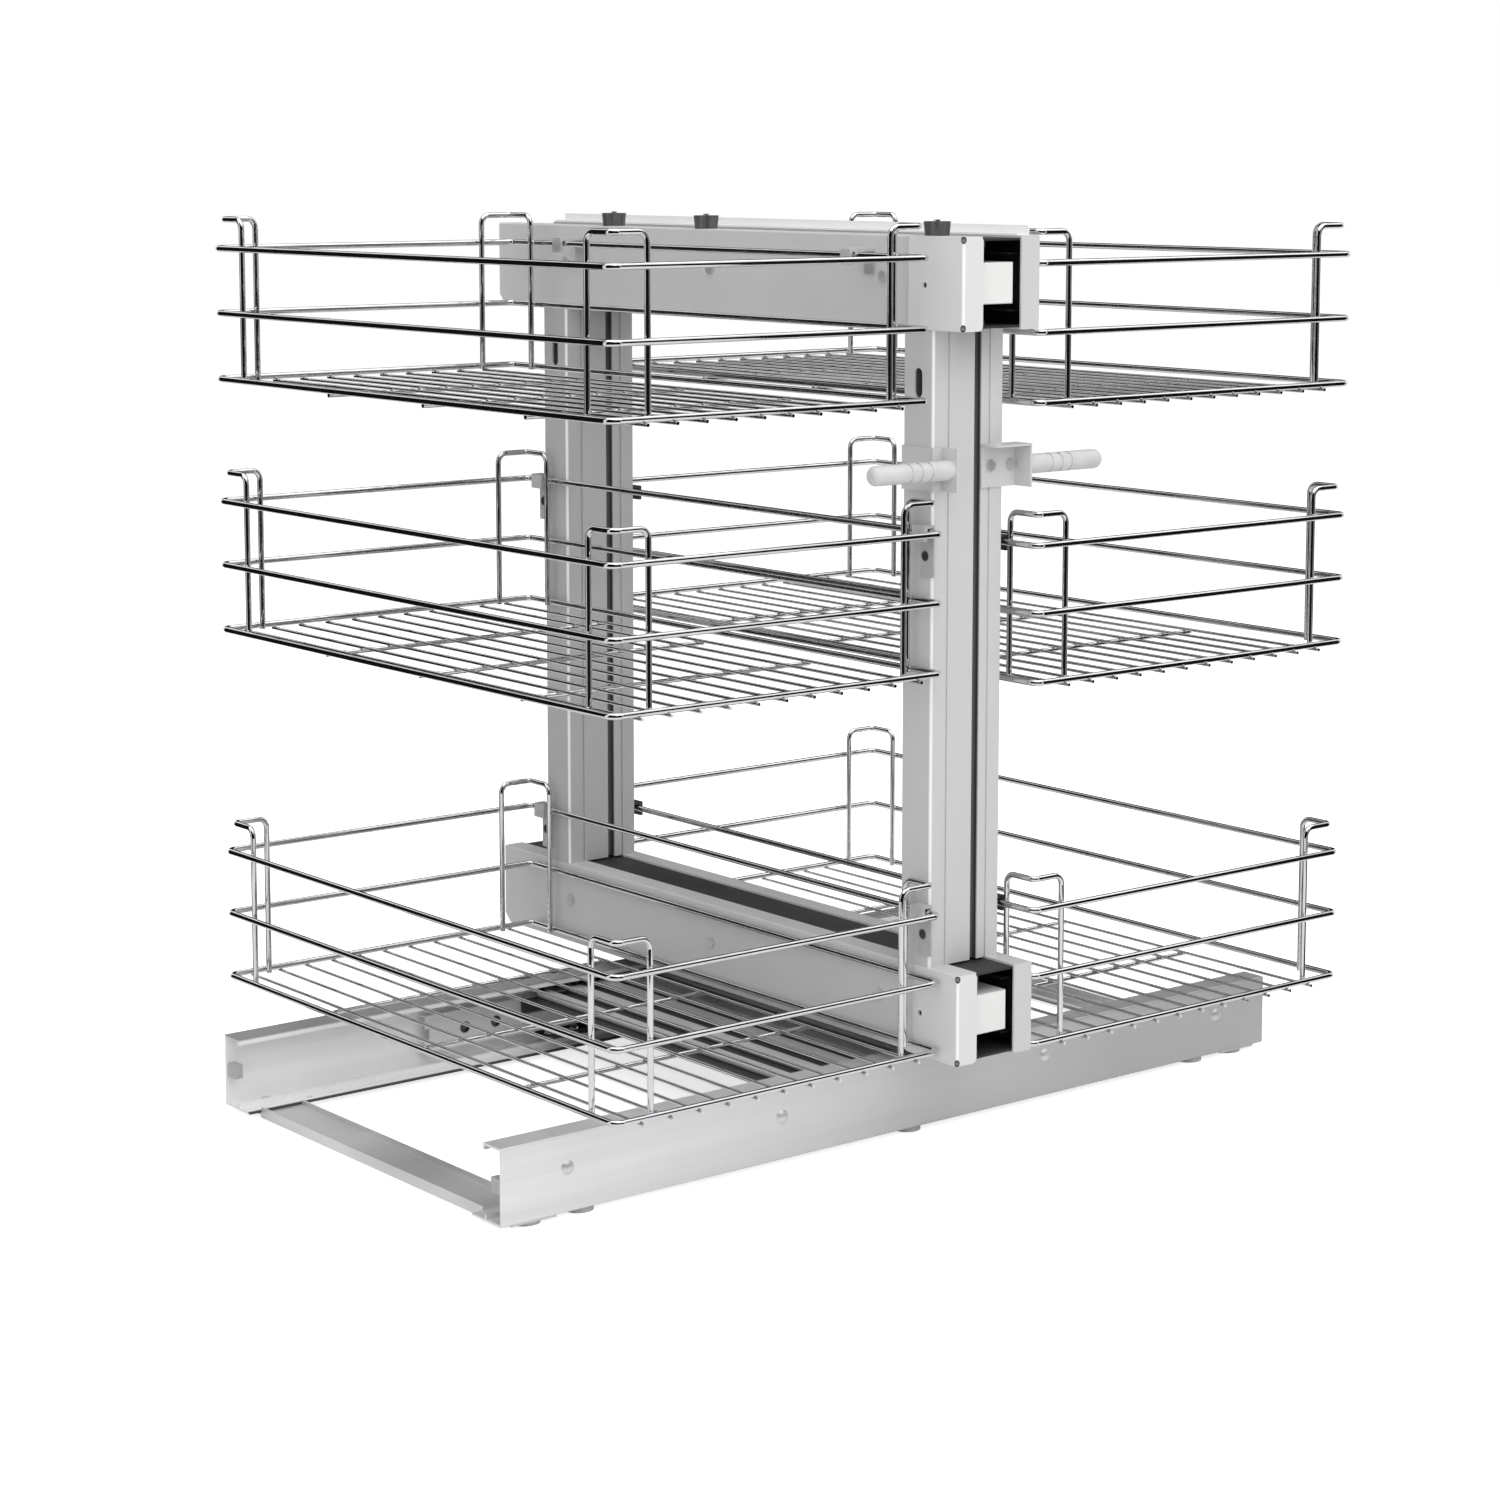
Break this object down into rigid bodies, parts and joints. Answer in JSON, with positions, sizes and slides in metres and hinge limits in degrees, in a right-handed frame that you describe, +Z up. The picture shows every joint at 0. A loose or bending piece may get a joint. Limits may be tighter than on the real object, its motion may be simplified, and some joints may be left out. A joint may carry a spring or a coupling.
{
  "type": "pull out larder unit",
  "caption": "Blind-corner pull-out larder unit: a sliding steel tower on base rails with chrome wire baskets on both sides, one frame pulling forwards.",
  "frame": {"origin": "centre of the four floor screw holes, on the underside of the base rails", "axes": "+X along the base rails towards the larger baskets, +Y towards the back of the cabinet, +Z up"},
  "size_m": [0.7212, 0.5465, 0.6407],
  "materials": {
    "zinc_sheet": "galvanised, softly streaked",
    "grey_paint": "satin light grey powder coat",
    "white_paint": "satin white",
    "dark_steel": "blackened, lightly oiled",
    "white_plastic": "moulded, satin",
    "grey_plastic": "moulded, satin",
    "rubber": "matt",
    "bright_steel": "bright zinc plate",
    "chrome_wire": "polished chrome plate"
  },
  "bodies": {
    "base": {"front_base_rail": "zinc_sheet", "rear_base_rail": "zinc_sheet", "rail_rivets": "bright_steel", "left_cross_bar": "zinc_sheet", "right_cross_bar": "zinc_sheet", "feet": "rubber", "end_stops": "rubber"},
    "front_cage": {"front_ball_cage": "grey_plastic", "front_balls": "bright_steel"},
    "rear_cage": {"rear_ball_cage": "grey_plastic", "rear_balls": "bright_steel"},
    "carriage": {"front_runner": "zinc_sheet", "rear_runner": "zinc_sheet", "deck_plate": "zinc_sheet", "deck_risers": "zinc_sheet", "right_lower_beam": "grey_paint", "right_upper_beam": "grey_paint", "lower_slide_channel": "dark_steel", "upper_slide_channel": "dark_steel", "right_tracks": "dark_steel", "near_right_post": "grey_paint", "far_right_post": "grey_paint", "top_strip": "white_paint", "right_peg_bracket": "grey_paint", "right_peg": "white_plastic", "right_screws": "bright_steel", "right_bottom_basket": "chrome_wire", "right_bottom_basket_floor": "chrome_wire", "right_middle_basket": "chrome_wire", "right_middle_basket_floor": "chrome_wire", "right_top_basket": "chrome_wire", "right_top_basket_floor": "chrome_wire", "right_clips": "grey_plastic", "right_hangers": "bright_steel"},
    "lower_slide": {"lower_slider": "dark_steel", "lower_slider_block": "white_plastic", "lower_glides": "white_plastic"},
    "upper_slide": {"upper_slider": "dark_steel", "upper_slider_block": "white_plastic", "upper_glides": "white_plastic"},
    "left_frame": {"left_lower_beam": "grey_paint", "left_upper_beam": "grey_paint", "lower_end_cover": "grey_paint", "upper_end_cover": "grey_paint", "left_tracks": "dark_steel", "near_left_post": "grey_paint", "far_left_post": "grey_paint", "buffers": "rubber", "buffer_studs": "bright_steel", "left_peg_plate": "grey_paint", "left_peg": "white_plastic", "left_screws": "bright_steel", "left_bottom_basket": "chrome_wire", "left_bottom_basket_floor": "chrome_wire", "left_middle_basket": "chrome_wire", "left_middle_basket_floor": "chrome_wire", "left_top_basket": "chrome_wire", "left_top_basket_floor": "chrome_wire", "left_clips": "white_plastic", "left_hangers": "bright_steel"}
  },
  "joints": [
    {"name": "carriage_slide", "type": "slide", "parent": "base", "child": "carriage", "axis": [1, 0, 0], "range_m": [-0.155, 0.13]},
    {"name": "front_cage_roll", "type": "slide", "parent": "base", "child": "front_cage", "axis": [1, 0, 0], "range_m": [-0.0776, 0.0651]},
    {"name": "rear_cage_roll", "type": "slide", "parent": "base", "child": "rear_cage", "axis": [1, 0, 0], "range_m": [-0.0776, 0.0651]},
    {"name": "left_pull", "type": "slide", "parent": "carriage", "child": "left_frame", "axis": [0, -1, 0], "range_m": [0, 0.43]},
    {"name": "upper_slide_pull", "type": "slide", "parent": "carriage", "child": "upper_slide", "axis": [0, -1, 0], "range_m": [0, 0.2151]},
    {"name": "lower_slide_pull", "type": "slide", "parent": "carriage", "child": "lower_slide", "axis": [0, -1, 0], "range_m": [0, 0.2151]}
  ],
  "couplings": [
    {"joint": "front_cage_roll", "follows": "carriage_slide", "ratio": 0.5},
    {"joint": "rear_cage_roll", "follows": "carriage_slide", "ratio": 0.5},
    {"joint": "upper_slide_pull", "follows": "left_pull", "ratio": 0.5},
    {"joint": "lower_slide_pull", "follows": "left_pull", "ratio": 0.5}
  ]
}
